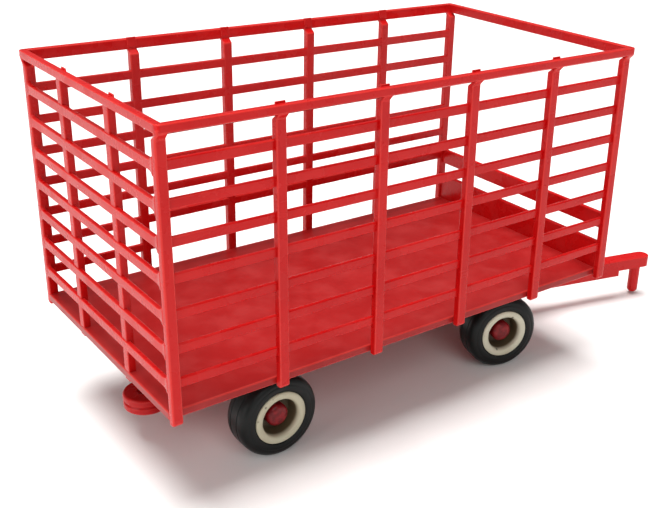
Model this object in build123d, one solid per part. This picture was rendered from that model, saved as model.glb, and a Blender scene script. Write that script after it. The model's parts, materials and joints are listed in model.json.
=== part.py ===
"""Toy stake-sided farm wagon, about 1:64 scale, in millimetres.

Frame: +X towards the drawbar (front), +Y to the wagon's left, +Z up.  The origin is on
the ground under the centre of the overall length and width.  While the pieces are made,
x is measured from the rear edge of the deck and z from the ground; the last step moves
everything along X to the origin.
"""
from build123d import *
import os
from math import cos, sin, radians

# ---------------------------------------------------------------- driving dimensions
# deck
DECK_LENGTH = 73.8
DECK_WIDTH = 38.0
DECK_THICKNESS = 1.1
WHEEL_ROOM = 2.3            # underside of the deck above the tyres

# racks: stakes stand against the outside of the deck edge and carry slats and a top rail
RACK_HEIGHT = 35.95         # underside of the deck to the top of the rail
SIDE_STAKES = 6             # on each side, the two corner posts included
REAR_STAKES = 2             # between the corner posts
STAKE_WIDTH = 1.35
STAKE_DEPTH = 1.1
STAKE_EDGE_RADIUS = 0.25
STAKE_HEAD_DEPTH = 0.2      # thickness of a stake's head behind the rail
STAKE_HEAD_PROUD = 0.15     # head above the top of the rail, corner posts apart
STAKE_HEAD_SLOPE = 0.9      # underside of the rail to where the head starts to lean outwards
FOOT_DROP = 0.25            # stake below the underside of the deck
CORNER_FOOT_DROP = 0.5
CORNER_OVERHANG = 0.05      # rear posts behind the rear edge of the deck
SLATS = 7
SLAT_HEIGHT = 1.24
SLAT_THICKNESS = 0.6
RAIL_HEIGHT = 1.05
RAIL_THICKNESS = 0.9
RAIL_PROUD = 0.65           # side rail outside the stakes
FRONT_RAIL_PROUD = 0.25     # header rail in front of the corner posts
RAIL_CORNER_RADIUS = 0.8    # outer corners of the rails, seen from above
REAR_STAKE_DEPTH = 1.0
REAR_STAKE_SET_IN = 0.12    # rear stakes inside the outer face of the rear slats

# front end, open above the upper board
FRONT_PANEL_THICKNESS = 0.7
UPPER_BOARD_HEIGHT = 2.55
UPPER_BOARD_LIFT = 7.75     # underside of the deck to the board's lower edge
LIP_HEIGHT = 4.4            # above the deck's top face
PANEL_EDGE_RADIUS = 0.17    # top edges of both panels
PANEL_SET_BACK = 0.2        # panels behind the front face of the corner posts

# wheels
TYRE_RADIUS = 5.9
TYRE_WIDTH = 4.8
TYRE_SHOULDER = 0.9
RIM_RADIUS = 3.8
RIM_BARREL_RADIUS = 3.35
RIM_FLANGE_WIDTH = 0.5
WELL_RADIUS = 2.7
WELL_FLOOR_RADIUS = 2.45
WELL_DEPTH = 2.6
WEB_THICKNESS = 1.0
WHEEL_BOSS_RADIUS = 1.5
WHEEL_BOSS_LENGTH = 0.7     # boss inboard of the tyre
WIDTH_OVER_WHEELS = 30.4    # outer face to outer face of the rims
REAR_AXLE_X = 17.5
KING_PIN_X = 61.9
HUB_CAP_RADIUS = 1.6
HUB_CAP_LENGTH = 1.8
HUB_CAP_BORE_DEPTH = 1.2
HUB_CAP_DOME = 0.3

# running gear
AXLE_RADIUS = 0.8
AXLE_CLEARANCE = 0.05       # radial, wheel bore to axle
SIDE_CLEARANCE = 0.1        # axial, each side of a wheel
BLOCK_LENGTH = 3.2          # axle blocks and bolsters along X
BLOCK_HEIGHT = 3.8
BLOCK_BELOW_AXLE = 1.9
BOLSTER_TAPER = 4.0         # how much shorter a bolster is at its lower edge, each end
REACH_WIDTH = 2.4
REACH_HEIGHT = 2.0
REACH_DROP = 1.3            # underside of the deck to the top of the reach
HITCH_BAR_WIDTH = 3.4
HITCH_BAR_THICKNESS = 2.25
HITCH_EYE_RADIUS = 3.1
HITCH_EYE_X = 5.4
HITCH_EYE_DROP = 7.2        # underside of the deck to the top of the eye
HITCH_EYE_GROOVE = 0.25
HITCH_HOLE_CLEARANCE = 0.25
DOWEL_RADIUS = 0.6
DOWEL_LENGTH = 2.2
DOWEL_IN_DECK = 0.6
DOWEL_SPACING = 12.0        # between the two dowels of a bolster

# turntable and steering
TURNTABLE_RADIUS = 4.2
TURNTABLE_THICKNESS = 0.9
TURNTABLE_GAP = 0.08
KING_PIN_RADIUS = 1.1
KING_PIN_CLEARANCE = 0.06
KING_PIN_HEAD_RADIUS = 1.9
KING_PIN_HEAD_HEIGHT = 0.6
KING_PIN_HEAD_CLEARANCE = 0.15
KING_PIN_SOCKET = 2.5       # length held in the front bolster
KING_PIN_WEB = 1.0          # carrier between the turntable face and the pin's head
CARRIER_HUB_HALF = 3.2      # middle of the carrier, behind and beside the king pin
STEER_AT_REST = -13.5       # degrees, drawbar turned to the wagon's right
DRAWBAR_WIDTH = 2.65
DRAWBAR_ROOT_WIDTH = 6.0
DRAWBAR_TAPER_END = 13.0    # from the king pin
DRAWBAR_DEPTH = 2.9
DRAWBAR_STEP = 31.75        # from the king pin to the end of the deep part
DRAWBAR_LENGTH = 38.5       # from the king pin to the tip
DRAWBAR_TONGUE_THICKNESS = 1.9
DRAWBAR_TOP_DROP = 6.6      # underside of the deck to the drawbar's top face
HITCH_PIN_RADIUS = 0.95
HITCH_PIN_SET_BACK = 2.3    # pin axis behind the tip
HITCH_PIN_LENGTH = 5.25     # below the drawbar
HITCH_PIN_SHANK_RADIUS = 0.7
HITCH_PIN_SHANK = 1.2       # length held in the tongue
HITCH_PIN_TIP = 0.8         # rounding of its lower end
DRAWBAR_TIP_ROUND = 1.2
EDGE_BREAK = 0.2

# ---------------------------------------------------------------- derived places
AXLE_Z = TYRE_RADIUS
DECK_HEIGHT = 2 * TYRE_RADIUS + WHEEL_ROOM      # ground to the underside of the deck
DECK_TOP = DECK_HEIGHT + DECK_THICKNESS
RACK_TOP = DECK_HEIGHT + RACK_HEIGHT
RAIL_BOTTOM = RACK_TOP - RAIL_HEIGHT
HALF_DECK = DECK_WIDTH / 2
OPENING = (RAIL_BOTTOM - DECK_TOP - SLATS * SLAT_HEIGHT) / (SLATS + 1)
SLAT_BOTTOMS = [DECK_TOP + OPENING + i * (SLAT_HEIGHT + OPENING) for i in range(SLATS)]
REAR_FACE = -CORNER_OVERHANG
FRONT_FACE = DECK_LENGTH
STAKE_PITCH = (FRONT_FACE - REAR_FACE - STAKE_WIDTH) / (SIDE_STAKES - 1)
STAKE_XS = [REAR_FACE + STAKE_WIDTH / 2 + i * STAKE_PITCH for i in range(SIDE_STAKES)]
REAR_STAKE_YS = [DECK_WIDTH * (i + 1) / (REAR_STAKES + 1) - HALF_DECK for i in range(REAR_STAKES)]
RAIL_OUTER = STAKE_DEPTH + RAIL_PROUD           # from the deck edge
RAIL_INNER = RAIL_OUTER - RAIL_THICKNESS
HEAD_INNER = RAIL_INNER - STAKE_HEAD_DEPTH
PANEL_FACE = FRONT_FACE - PANEL_SET_BACK
PANEL_BACK = PANEL_FACE - FRONT_PANEL_THICKNESS
WHEEL_FACE = WIDTH_OVER_WHEELS / 2
BLOCK_HALF = WHEEL_FACE - TYRE_WIDTH - WHEEL_BOSS_LENGTH - SIDE_CLEARANCE
CAP_FACE = WELL_DEPTH - SIDE_CLEARANCE - HUB_CAP_LENGTH   # below the rim face
AXLE_HALF = WHEEL_FACE - CAP_FACE - HUB_CAP_LENGTH + HUB_CAP_BORE_DEPTH
BLOCK_BOTTOM = AXLE_Z - BLOCK_BELOW_AXLE
BLOCK_TOP = BLOCK_BOTTOM + BLOCK_HEIGHT
HITCH_HOLE_RADIUS = HITCH_PIN_RADIUS + HITCH_HOLE_CLEARANCE
HITCH_EYE_TOP = DECK_HEIGHT - HITCH_EYE_DROP
DRAWBAR_TOP = DECK_HEIGHT - DRAWBAR_TOP_DROP
CARRIER_DISC_TOP = BLOCK_TOP + TURNTABLE_THICKNESS
BOLSTER_DISC_BOTTOM = CARRIER_DISC_TOP + TURNTABLE_GAP
BOLSTER_BOTTOM = BOLSTER_DISC_BOTTOM + TURNTABLE_THICKNESS
DRAWBAR_ROOT_X = TURNTABLE_RADIUS + TURNTABLE_GAP


def box(x0, x1, y0, y1, z0, z1):
    """Box between two corners."""
    return Pos((x0 + x1) / 2, (y0 + y1) / 2, (z0 + z1) / 2) * Box(x1 - x0, y1 - y0, z1 - z0)


def rod(radius, x, y, z0, z1):
    """Upright cylinder from z0 to z1."""
    return Pos(x, y, (z0 + z1) / 2) * Cylinder(radius, z1 - z0)


def cross_rod(radius, x, z, half):
    """Cylinder along Y, centred on the wagon."""
    return Pos(x, 0, z) * Rot(90, 0, 0) * Cylinder(radius, 2 * half)


def upright_edges(solid, pick):
    """Upright edges of a solid whose centre passes the test."""
    return [e for e in solid.edges().filter_by(Axis.Z) if pick(e.center())]


def prism(points, plane, length):
    """Outline extruded along the plane's normal by length, centred on the plane."""
    return extrude(plane * make_face(Polyline(*points, close=True)), length / 2, both=True)


# ---------------------------------------------------------------- racks
def side_stake(x, foot_drop, head_top):
    """Stake of the left rack, leaning outwards at its head to stand behind the rail."""
    outside = [
        (0, DECK_HEIGHT - foot_drop + EDGE_BREAK),
        (EDGE_BREAK, DECK_HEIGHT - foot_drop),
        (STAKE_DEPTH - EDGE_BREAK, DECK_HEIGHT - foot_drop),
        (STAKE_DEPTH, DECK_HEIGHT - foot_drop + EDGE_BREAK),
        (STAKE_DEPTH, RAIL_BOTTOM - RAIL_PROUD),
        (RAIL_OUTER, RAIL_BOTTOM),
        (RAIL_INNER, head_top),
        (HEAD_INNER, head_top),
        (HEAD_INNER, RAIL_BOTTOM - STAKE_HEAD_SLOPE + HEAD_INNER),
        (0, RAIL_BOTTOM - STAKE_HEAD_SLOPE),
    ]
    across = Plane(origin=(x, HALF_DECK, 0), x_dir=(0, 1, 0), z_dir=(1, 0, 0))
    stake = prism(outside, across, STAKE_WIDTH)
    outer = upright_edges(stake, lambda c: c.Y > HALF_DECK + STAKE_DEPTH - EDGE_BREAK / 2
                          and c.Z < RAIL_BOTTOM)
    return fillet(outer, STAKE_EDGE_RADIUS)


def side_rack():
    """Left rack: stakes, slats flush with the stakes' inner faces, and the top rail."""
    y0 = HALF_DECK
    rail = box(REAR_FACE, FRONT_FACE + FRONT_RAIL_PROUD,
               y0 + RAIL_INNER, y0 + RAIL_OUTER, RAIL_BOTTOM, RACK_TOP)
    corners = upright_edges(rail, lambda c: c.Y > y0 + RAIL_OUTER - EDGE_BREAK)
    rack = fillet(corners, RAIL_CORNER_RADIUS)
    for z in SLAT_BOTTOMS:
        rack += box(STAKE_XS[0], STAKE_XS[-1], y0, y0 + SLAT_THICKNESS, z, z + SLAT_HEIGHT)
    for i, x in enumerate(STAKE_XS):
        corner = i in (0, SIDE_STAKES - 1)
        if corner:
            rack += side_stake(x, CORNER_FOOT_DROP, RACK_TOP)
        else:
            rack += side_stake(x, FOOT_DROP, RACK_TOP + STAKE_HEAD_PROUD)
    return rack


def end_rail(outer):
    """Rail across the wagon, between the side rails, from its rearmost face."""
    return box(outer, outer + RAIL_THICKNESS, -HALF_DECK - RAIL_INNER, HALF_DECK + RAIL_INNER,
               RAIL_BOTTOM, RACK_TOP)


def rear_rail():
    """Rail of the rear gate, flush with the corner posts."""
    return end_rail(REAR_FACE)


def front_rail():
    """Header rail over the open front."""
    return end_rail(FRONT_FACE + FRONT_RAIL_PROUD - RAIL_THICKNESS)


def rear_rack():
    """Rear gate: slats outside, two stakes inside them, rail between the side rails."""
    outer = REAR_FACE
    rack = rear_rail()
    for z in SLAT_BOTTOMS:
        rack += box(outer, outer + SLAT_THICKNESS, -HALF_DECK, HALF_DECK, z, z + SLAT_HEIGHT)
    x0 = outer + REAR_STAKE_SET_IN
    x1 = x0 + REAR_STAKE_DEPTH
    rail_back = outer + RAIL_THICKNESS
    rail_middle = RACK_TOP - RAIL_HEIGHT / 2
    for y in REAR_STAKE_YS:
        outline = [
            (x0, DECK_HEIGHT - FOOT_DROP),
            (x1, DECK_HEIGHT - FOOT_DROP),
            (x1, RACK_TOP + STAKE_HEAD_PROUD),
            (rail_back, RACK_TOP + STAKE_HEAD_PROUD),
            (rail_back, rail_middle),
            (x0, rail_middle),
        ]
        along = Plane(origin=(0, y, 0), x_dir=(1, 0, 0), z_dir=(0, -1, 0))
        rack += prism(outline, along, STAKE_WIDTH)
    return rack


def front_panel(z0, height):
    """Board across the front, between the corner posts."""
    panel = box(PANEL_BACK, PANEL_FACE, -HALF_DECK, HALF_DECK, z0, z0 + height)
    top = panel.edges().filter_by(Axis.Y).group_by(Axis.Z)[-1]
    return fillet(top, PANEL_EDGE_RADIUS)


def dowel_centres():
    """Dowels between the deck and the two bolsters."""
    return [(x, y) for x in (REAR_AXLE_X, KING_PIN_X)
            for y in (-DOWEL_SPACING / 2, DOWEL_SPACING / 2)]


def dowel(x, y):
    """One dowel, partly in the deck and partly in a bolster."""
    bottom = DECK_HEIGHT + DOWEL_IN_DECK - DOWEL_LENGTH
    return rod(DOWEL_RADIUS, x, y, bottom, DECK_HEIGHT + DOWEL_IN_DECK)


def deck():
    """Floor plate up to the front panel, notched for the rear stakes, drilled for the dowels."""
    plate = box(0, PANEL_BACK, -HALF_DECK, HALF_DECK, DECK_HEIGHT, DECK_TOP)
    notch = REAR_FACE + REAR_STAKE_SET_IN + REAR_STAKE_DEPTH
    for y in REAR_STAKE_YS:
        plate -= box(-notch, notch, y - STAKE_WIDTH / 2, y + STAKE_WIDTH / 2, 0, RACK_TOP)
    for x, y in dowel_centres():
        plate -= dowel(x, y)
    return plate


# ---------------------------------------------------------------- wheels
def turned(points):
    """Solid of revolution about Y from (radius, distance in from the rim's outer face)."""
    outline = [(r, WHEEL_FACE - a) for r, a in points]
    return revolve(make_face(Polyline(*outline, close=True)), Axis.Y)


def rim():
    """Deep-dished left rim: flanged barrel, web and inboard boss."""
    web_back = WELL_DEPTH + WEB_THICKNESS
    bore = AXLE_RADIUS + AXLE_CLEARANCE
    boss_end = TYRE_WIDTH + WHEEL_BOSS_LENGTH
    body = turned([
        (WELL_RADIUS, 0), (RIM_RADIUS, 0), (RIM_RADIUS, RIM_FLANGE_WIDTH),
        (RIM_BARREL_RADIUS, RIM_FLANGE_WIDTH), (RIM_BARREL_RADIUS, TYRE_WIDTH - RIM_FLANGE_WIDTH),
        (RIM_RADIUS, TYRE_WIDTH - RIM_FLANGE_WIDTH), (RIM_RADIUS, TYRE_WIDTH),
        (WELL_RADIUS, TYRE_WIDTH), (WELL_RADIUS, web_back), (WHEEL_BOSS_RADIUS, web_back),
        (WHEEL_BOSS_RADIUS, boss_end), (bore, boss_end), (bore, WELL_DEPTH),
        (WELL_FLOOR_RADIUS, WELL_DEPTH),
    ])
    return body


def tyre():
    """Smooth left tyre with rounded shoulders, seated in the rim's barrel."""
    band = turned([
        (RIM_RADIUS, 0), (TYRE_RADIUS, 0), (TYRE_RADIUS, TYRE_WIDTH), (RIM_RADIUS, TYRE_WIDTH),
        (RIM_RADIUS, TYRE_WIDTH - RIM_FLANGE_WIDTH),
        (RIM_BARREL_RADIUS, TYRE_WIDTH - RIM_FLANGE_WIDTH),
        (RIM_BARREL_RADIUS, RIM_FLANGE_WIDTH), (RIM_RADIUS, RIM_FLANGE_WIDTH),
    ])
    shoulders = [e for e in band.edges().filter_by(GeomType.CIRCLE)
                 if abs(e.radius - TYRE_RADIUS) < 1e-6]
    return fillet(shoulders, TYRE_SHOULDER)


def hub_cap():
    """Left retaining cap, domed outside, with a blind bore for the end of the axle."""
    back = WELL_DEPTH - SIDE_CLEARANCE
    bore_end = back - HUB_CAP_BORE_DEPTH
    cap = turned([
        (0, CAP_FACE), (HUB_CAP_RADIUS, CAP_FACE), (HUB_CAP_RADIUS, back),
        (AXLE_RADIUS, back), (AXLE_RADIUS, bore_end), (0, bore_end),
    ])
    face = [e for e in cap.edges().filter_by(GeomType.CIRCLE)
            if abs(e.radius - HUB_CAP_RADIUS) < 1e-6 and e.center().Y > WHEEL_FACE - CAP_FACE - 1e-6]
    return fillet(face, HUB_CAP_DOME)


# ---------------------------------------------------------------- running gear
def axle_block(x):
    """Block that holds an axle across the wagon."""
    block = box(x - BLOCK_LENGTH / 2, x + BLOCK_LENGTH / 2, -BLOCK_HALF, BLOCK_HALF,
                BLOCK_BOTTOM, BLOCK_TOP)
    return chamfer(block.edges().filter_by(Axis.Y), EDGE_BREAK)


def axle(x):
    """Axle at rest square across the wagon."""
    return cross_rod(AXLE_RADIUS, x, AXLE_Z, AXLE_HALF)


def bolster(x, bottom):
    """Cross beam under the deck, shorter at its lower edge, drilled for its dowels."""
    low = BLOCK_HALF - BOLSTER_TAPER
    outline = [(-BLOCK_HALF, DECK_HEIGHT), (-low, bottom), (low, bottom), (BLOCK_HALF, DECK_HEIGHT)]
    across = Plane(origin=(x, 0, 0), x_dir=(0, 1, 0), z_dir=(1, 0, 0))
    beam = prism(outline, across, BLOCK_LENGTH)
    for dowel_x, y in dowel_centres():
        beam -= dowel(dowel_x, y)
    return beam


def reach():
    """Pole under the deck between the two bolsters."""
    top = DECK_HEIGHT - REACH_DROP
    return box(REAR_AXLE_X + BLOCK_LENGTH / 2, KING_PIN_X - BLOCK_LENGTH / 2,
               -REACH_WIDTH / 2, REACH_WIDTH / 2, top - REACH_HEIGHT, top)


def hitch_bar():
    """Bar from the rear axle block to a round eye for a second wagon's hitch pin."""
    top = HITCH_EYE_TOP
    bottom = top - HITCH_BAR_THICKNESS
    middle = (top + bottom) / 2
    eye = rod(HITCH_EYE_RADIUS, HITCH_EYE_X, 0, bottom, top)
    eye = chamfer(eye.edges().filter_by(GeomType.CIRCLE), EDGE_BREAK)
    groove = rod(HITCH_EYE_RADIUS + HITCH_EYE_GROOVE, HITCH_EYE_X, 0,
                 middle - HITCH_EYE_GROOVE, middle + HITCH_EYE_GROOVE)
    groove -= Pos(HITCH_EYE_X, 0, middle + HITCH_EYE_GROOVE / 2) * Cone(
        HITCH_EYE_RADIUS - HITCH_EYE_GROOVE, HITCH_EYE_RADIUS, HITCH_EYE_GROOVE)
    groove -= Pos(HITCH_EYE_X, 0, middle - HITCH_EYE_GROOVE / 2) * Cone(
        HITCH_EYE_RADIUS, HITCH_EYE_RADIUS - HITCH_EYE_GROOVE, HITCH_EYE_GROOVE)
    bar = box(HITCH_EYE_X, REAR_AXLE_X - BLOCK_LENGTH / 2,
              -HITCH_BAR_WIDTH / 2, HITCH_BAR_WIDTH / 2, bottom, top)
    return eye - groove + bar - rod(HITCH_HOLE_RADIUS, HITCH_EYE_X, 0, bottom - 1, top + 1)


# ---------------------------------------------------------------- turntable and steering
# These pieces are made with the king pin at x = 0 and the drawbar straight ahead.
def king_pin():
    """Headed pin held in the front bolster, which the steering carrier turns on."""
    head_top = CARRIER_DISC_TOP - KING_PIN_WEB - TURNTABLE_GAP
    pin = rod(KING_PIN_RADIUS, 0, 0, head_top, BOLSTER_DISC_BOTTOM + KING_PIN_SOCKET)
    return pin + rod(KING_PIN_HEAD_RADIUS, 0, 0, head_top - KING_PIN_HEAD_HEIGHT, head_top)


def front_bolster():
    """Bolster with the upper half of the turntable and a blind socket for the king pin."""
    beam = bolster(KING_PIN_X, BOLSTER_BOTTOM)
    beam += rod(TURNTABLE_RADIUS, KING_PIN_X, 0, BOLSTER_DISC_BOTTOM, BOLSTER_BOTTOM)
    return beam - rod(KING_PIN_RADIUS, KING_PIN_X, 0, 0, BOLSTER_DISC_BOTTOM + KING_PIN_SOCKET)


def carrier():
    """Front axle block with the lower half of the turntable and the king pin's recess."""
    half = CARRIER_HUB_HALF
    body = axle_block(0) + box(-half, DRAWBAR_ROOT_X, -half, half, BLOCK_BOTTOM, BLOCK_TOP)
    body += rod(TURNTABLE_RADIUS, 0, 0, BLOCK_TOP, CARRIER_DISC_TOP)
    body -= rod(KING_PIN_RADIUS + KING_PIN_CLEARANCE, 0, 0, 0, CARRIER_DISC_TOP)
    body -= rod(KING_PIN_HEAD_RADIUS + KING_PIN_HEAD_CLEARANCE, 0, 0, 0,
                CARRIER_DISC_TOP - KING_PIN_WEB)
    return body - axle(0)


def drawbar():
    """Deep bar that narrows from the carrier, then steps up to a thin round-ended tongue."""
    root, half = DRAWBAR_ROOT_WIDTH / 2, DRAWBAR_WIDTH / 2
    plan = [(DRAWBAR_ROOT_X, -root), (DRAWBAR_TAPER_END, -half), (DRAWBAR_STEP, -half),
            (DRAWBAR_STEP, half), (DRAWBAR_TAPER_END, half), (DRAWBAR_ROOT_X, root)]
    deep = extrude(Pos(0, 0, DRAWBAR_TOP - DRAWBAR_DEPTH) * make_face(Polyline(*plan, close=True)),
                   DRAWBAR_DEPTH)
    tongue = box(DRAWBAR_STEP, DRAWBAR_LENGTH, -half, half,
                 DRAWBAR_TOP - DRAWBAR_TONGUE_THICKNESS, DRAWBAR_TOP)
    tip = upright_edges(tongue, lambda c: c.X > DRAWBAR_LENGTH - EDGE_BREAK)
    return deep + fillet(tip, DRAWBAR_TIP_ROUND) - hitch_pin()


def hitch_pin():
    """Pin under the tongue, held in it by a thinner shank and rounded at its lower end."""
    x = DRAWBAR_LENGTH - HITCH_PIN_SET_BACK
    shoulder = DRAWBAR_TOP - DRAWBAR_TONGUE_THICKNESS
    pin = rod(HITCH_PIN_RADIUS, x, 0, shoulder - HITCH_PIN_LENGTH, shoulder)
    pin = fillet(pin.edges().filter_by(GeomType.CIRCLE).group_by(Axis.Z)[0], HITCH_PIN_TIP)
    return pin + rod(HITCH_PIN_SHANK_RADIUS, x, 0, shoulder, shoulder + HITCH_PIN_SHANK)


# ---------------------------------------------------------------- assembly
def both_sides(shape):
    """The left piece and its mirror image on the right."""
    return {"left": shape, "right": mirror(shape, Plane.XZ)}


def build():
    """Every node by name, with the origin on the ground under the middle of the wagon."""
    rear = Pos(REAR_AXLE_X, 0, AXLE_Z)
    front = Pos(KING_PIN_X, 0, 0) * Rot(0, 0, STEER_AT_REST)
    end_rails = rear_rail() + front_rail()
    nodes = {
        "deck_floor": deck(),
        "rear_gate_rack": rear_rack(),
        "front_header_rail": front_rail(),
        "front_upper_board": front_panel(DECK_HEIGHT + UPPER_BOARD_LIFT, UPPER_BOARD_HEIGHT),
        "front_lip_panel": front_panel(DECK_HEIGHT, DECK_THICKNESS + LIP_HEIGHT),
        "deck_dowels": Compound([dowel(x, y) for x, y in dowel_centres()]),
        "rear_bolster": bolster(REAR_AXLE_X, BLOCK_TOP),
        "rear_axle_block": axle_block(REAR_AXLE_X) - axle(REAR_AXLE_X),
        "rear_axle": axle(REAR_AXLE_X),
        "rear_hitch_bar": hitch_bar(),
        "reach_pole": reach(),
        "front_bolster": front_bolster(),
        "king_pin": Pos(KING_PIN_X, 0, 0) * king_pin(),
        "steering_carrier": front * carrier(),
        "front_axle": front * axle(0),
        "drawbar": front * drawbar(),
        "hitch_pin": front * hitch_pin(),
    }
    for side, shape in both_sides(side_rack() - end_rails).items():
        nodes[f"{side}_side_rack"] = shape
    for piece, shape in (("rim", rim()), ("tyre", tyre()), ("hub_cap", hub_cap())):
        for side, one in both_sides(shape).items():
            nodes[f"rear_{side}_{piece}"] = rear * one
            nodes[f"front_{side}_{piece}"] = front * Pos(0, 0, AXLE_Z) * one
    boxes = [shape.bounding_box() for shape in nodes.values()]
    middle = (min(b.min.X for b in boxes) + max(b.max.X for b in boxes)) / 2
    return {name: Pos(-middle, 0, 0) * shape for name, shape in nodes.items()}, middle


nodes, middle = build()
os.makedirs("parts", exist_ok=True)
for name, shape in nodes.items():
    export_step(shape, f"parts/{name}.step")
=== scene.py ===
"""Looks of a small moulded stake-sided farm wagon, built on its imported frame."""
import json
import logging
import math
from contextlib import contextmanager
from dataclasses import dataclass
from enum import Enum
from typing import Callable, Iterator, Sequence

import bmesh
import bpy
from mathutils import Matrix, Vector

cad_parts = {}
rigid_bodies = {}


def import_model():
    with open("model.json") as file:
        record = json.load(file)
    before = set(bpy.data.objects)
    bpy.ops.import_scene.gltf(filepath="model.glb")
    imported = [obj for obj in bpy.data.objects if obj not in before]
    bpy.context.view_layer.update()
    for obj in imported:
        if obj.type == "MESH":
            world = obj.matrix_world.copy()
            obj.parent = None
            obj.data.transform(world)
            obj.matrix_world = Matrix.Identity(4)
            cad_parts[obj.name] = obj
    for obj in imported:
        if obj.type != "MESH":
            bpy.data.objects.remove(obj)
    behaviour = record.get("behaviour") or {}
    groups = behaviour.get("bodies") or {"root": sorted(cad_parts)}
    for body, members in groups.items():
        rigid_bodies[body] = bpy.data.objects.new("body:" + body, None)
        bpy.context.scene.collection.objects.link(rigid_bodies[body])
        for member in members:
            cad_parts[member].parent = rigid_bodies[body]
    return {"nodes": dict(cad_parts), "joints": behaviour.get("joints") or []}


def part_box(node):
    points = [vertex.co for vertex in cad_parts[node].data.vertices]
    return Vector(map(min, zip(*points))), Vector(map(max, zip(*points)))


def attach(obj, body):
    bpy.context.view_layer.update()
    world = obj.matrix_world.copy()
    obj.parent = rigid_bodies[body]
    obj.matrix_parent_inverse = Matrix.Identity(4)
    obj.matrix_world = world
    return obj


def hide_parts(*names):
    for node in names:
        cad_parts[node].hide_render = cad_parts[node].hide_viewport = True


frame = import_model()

LOG = logging.getLogger("farm_wagon")
MM = 0.001
TINY = 0.01 * MM
Test = Callable[[Vector, Vector], bool]


class Side(Enum):
    """Side of the wagon, with the sign of its Y."""

    LEFT = 1
    RIGHT = -1


class Kind(Enum):
    """Kind of mesh element that a tool works on."""

    VERT = "VERT"
    EDGE = "EDGE"
    FACE = "FACE"


class Slot(Enum):
    """Material slots of the part."""

    RED = "wagon_red"
    TYRE = "tyre_rubber"
    RIM = "cream_rim"
    HUB = "hub_red"
    STEEL = "steel_pin"


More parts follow.
